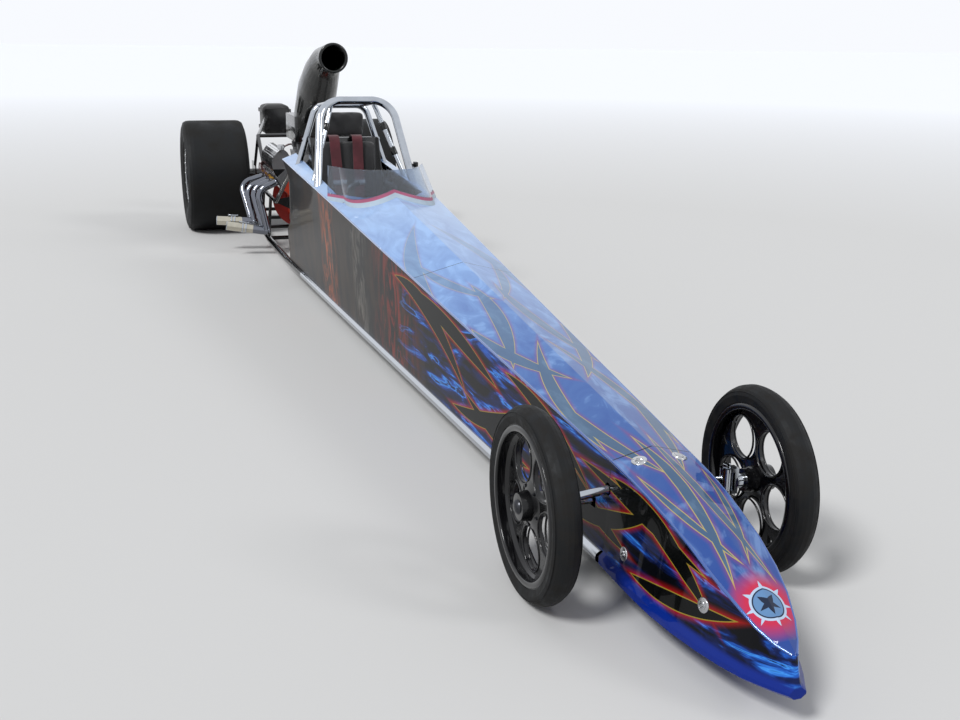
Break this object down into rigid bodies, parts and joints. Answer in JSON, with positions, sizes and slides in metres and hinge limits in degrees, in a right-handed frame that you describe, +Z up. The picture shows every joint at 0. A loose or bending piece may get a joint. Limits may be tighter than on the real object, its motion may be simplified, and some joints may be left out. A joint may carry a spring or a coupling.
{
  "type": "rear engine drag racing car",
  "caption": "Long low drag racing car with a pointed wedge body, narrow front wheels, wide rear slicks, a caged open cockpit and an open engine behind it with a tall air scoop.",
  "frame": {"origin": "on the ground, at mid length and mid width of the car", "axes": "+X forward to the nose, +Y to the left, +Z up"},
  "size_m": [7.985, 1.598, 1.452],
  "materials": {
    "frame_chrome": "polished",
    "frame_black": "gloss",
    "chrome_tube": "polished",
    "paint": "gloss",
    "bare_aluminium": "satin",
    "clear_screen": "clear",
    "black_cloth": "matt",
    "engine_red": "gloss",
    "polished_cover": "polished",
    "carb_metal": "satin",
    "scoop_black": "gloss",
    "cast_metal": "satin",
    "wheel_black": "gloss",
    "wheel_silver": "satin",
    "tyre": "matt"
  },
  "bodies": {
    "chassis": {"lower_frame": "frame_chrome", "upper_frame": "frame_black", "rear_frame": "frame_black", "roll_cage": "chrome_tube", "halo_hoop": "chrome_tube", "nose_cone": "paint", "hood_panel": "paint", "cowl_panel": "paint", "side_panel_left": "paint", "side_panel_right": "paint", "belly_pan": "bare_aluminium", "windshield": "clear_screen", "seat_shell": "bare_aluminium", "seat_pads": "black_cloth", "firewall": "bare_aluminium", "steering_column": "frame_black", "pedals": "bare_aluminium", "front_axle": "chrome_tube", "motor_plate": "bare_aluminium", "engine_block": "engine_red", "oil_pan": "bare_aluminium", "cylinder_heads": "bare_aluminium", "valve_covers": "polished_cover", "intake_manifold": "bare_aluminium", "carburettors": "carb_metal", "air_scoop": "scoop_black", "front_drive": "bare_aluminium", "header_left": "chrome_tube", "header_right": "chrome_tube", "transmission": "cast_metal", "rear_end_housing": "frame_black", "brake_calipers": "cast_metal", "parachute_pack": "black_cloth"},
    "knuckle_left": {"knuckle_left": "chrome_tube"},
    "knuckle_right": {"knuckle_right": "chrome_tube"},
    "tie_rod": {"tie_rod": "chrome_tube"},
    "front_wheel_left": {"front_wheel_left": "wheel_black", "front_tyre_left": "tyre"},
    "front_wheel_right": {"front_wheel_right": "wheel_black", "front_tyre_right": "tyre"},
    "rear_wheels": {"rear_axle_shaft": "cast_metal", "rear_wheel_left": "wheel_silver", "rear_wheel_right": "wheel_silver", "rear_tyre_left": "tyre", "rear_tyre_right": "tyre"},
    "steering_wheel": {"steering_wheel": "frame_black"}
  },
  "joints": [
    {"name": "steer_left", "type": "hinge", "parent": "chassis", "child": "knuckle_left", "pos_m": [3.2015, 0.25, 0.285], "axis": [0, 0, 1], "range_deg": [-18, 18]},
    {"name": "steer_right", "type": "hinge", "parent": "chassis", "child": "knuckle_right", "pos_m": [3.2015, -0.25, 0.285], "axis": [0, 0, 1], "range_deg": [-18, 18]},
    {"name": "tie_rod_pivot", "type": "hinge", "parent": "knuckle_left", "child": "tie_rod", "pos_m": [3.1165, 0.25, 0.232], "axis": [0, 0, 1], "range_deg": [-18, 18]},
    {"name": "front_wheel_left_spin", "type": "hinge", "parent": "knuckle_left", "child": "front_wheel_left", "pos_m": [3.2015, 0.354, 0.2794], "axis": [0, 1, 0], "continuous": true},
    {"name": "front_wheel_right_spin", "type": "hinge", "parent": "knuckle_right", "child": "front_wheel_right", "pos_m": [3.2015, -0.354, 0.2794], "axis": [0, 1, 0], "continuous": true},
    {"name": "rear_wheels_spin", "type": "hinge", "parent": "chassis", "child": "rear_wheels", "pos_m": [-3.2725, 0, 0.419], "axis": [0, 1, 0], "continuous": true},
    {"name": "steering_wheel_turn", "type": "hinge", "parent": "chassis", "child": "steering_wheel", "pos_m": [-0.2635, 0, 0.6], "axis": [0.9953, 0, -0.097], "range_deg": [-108, 108]}
  ],
  "couplings": [
    {"joint": "steer_right", "follows": "steer_left", "ratio": 1},
    {"joint": "tie_rod_pivot", "follows": "steer_left", "ratio": -1},
    {"joint": "steering_wheel_turn", "follows": "steer_left", "ratio": -6}
  ]
}
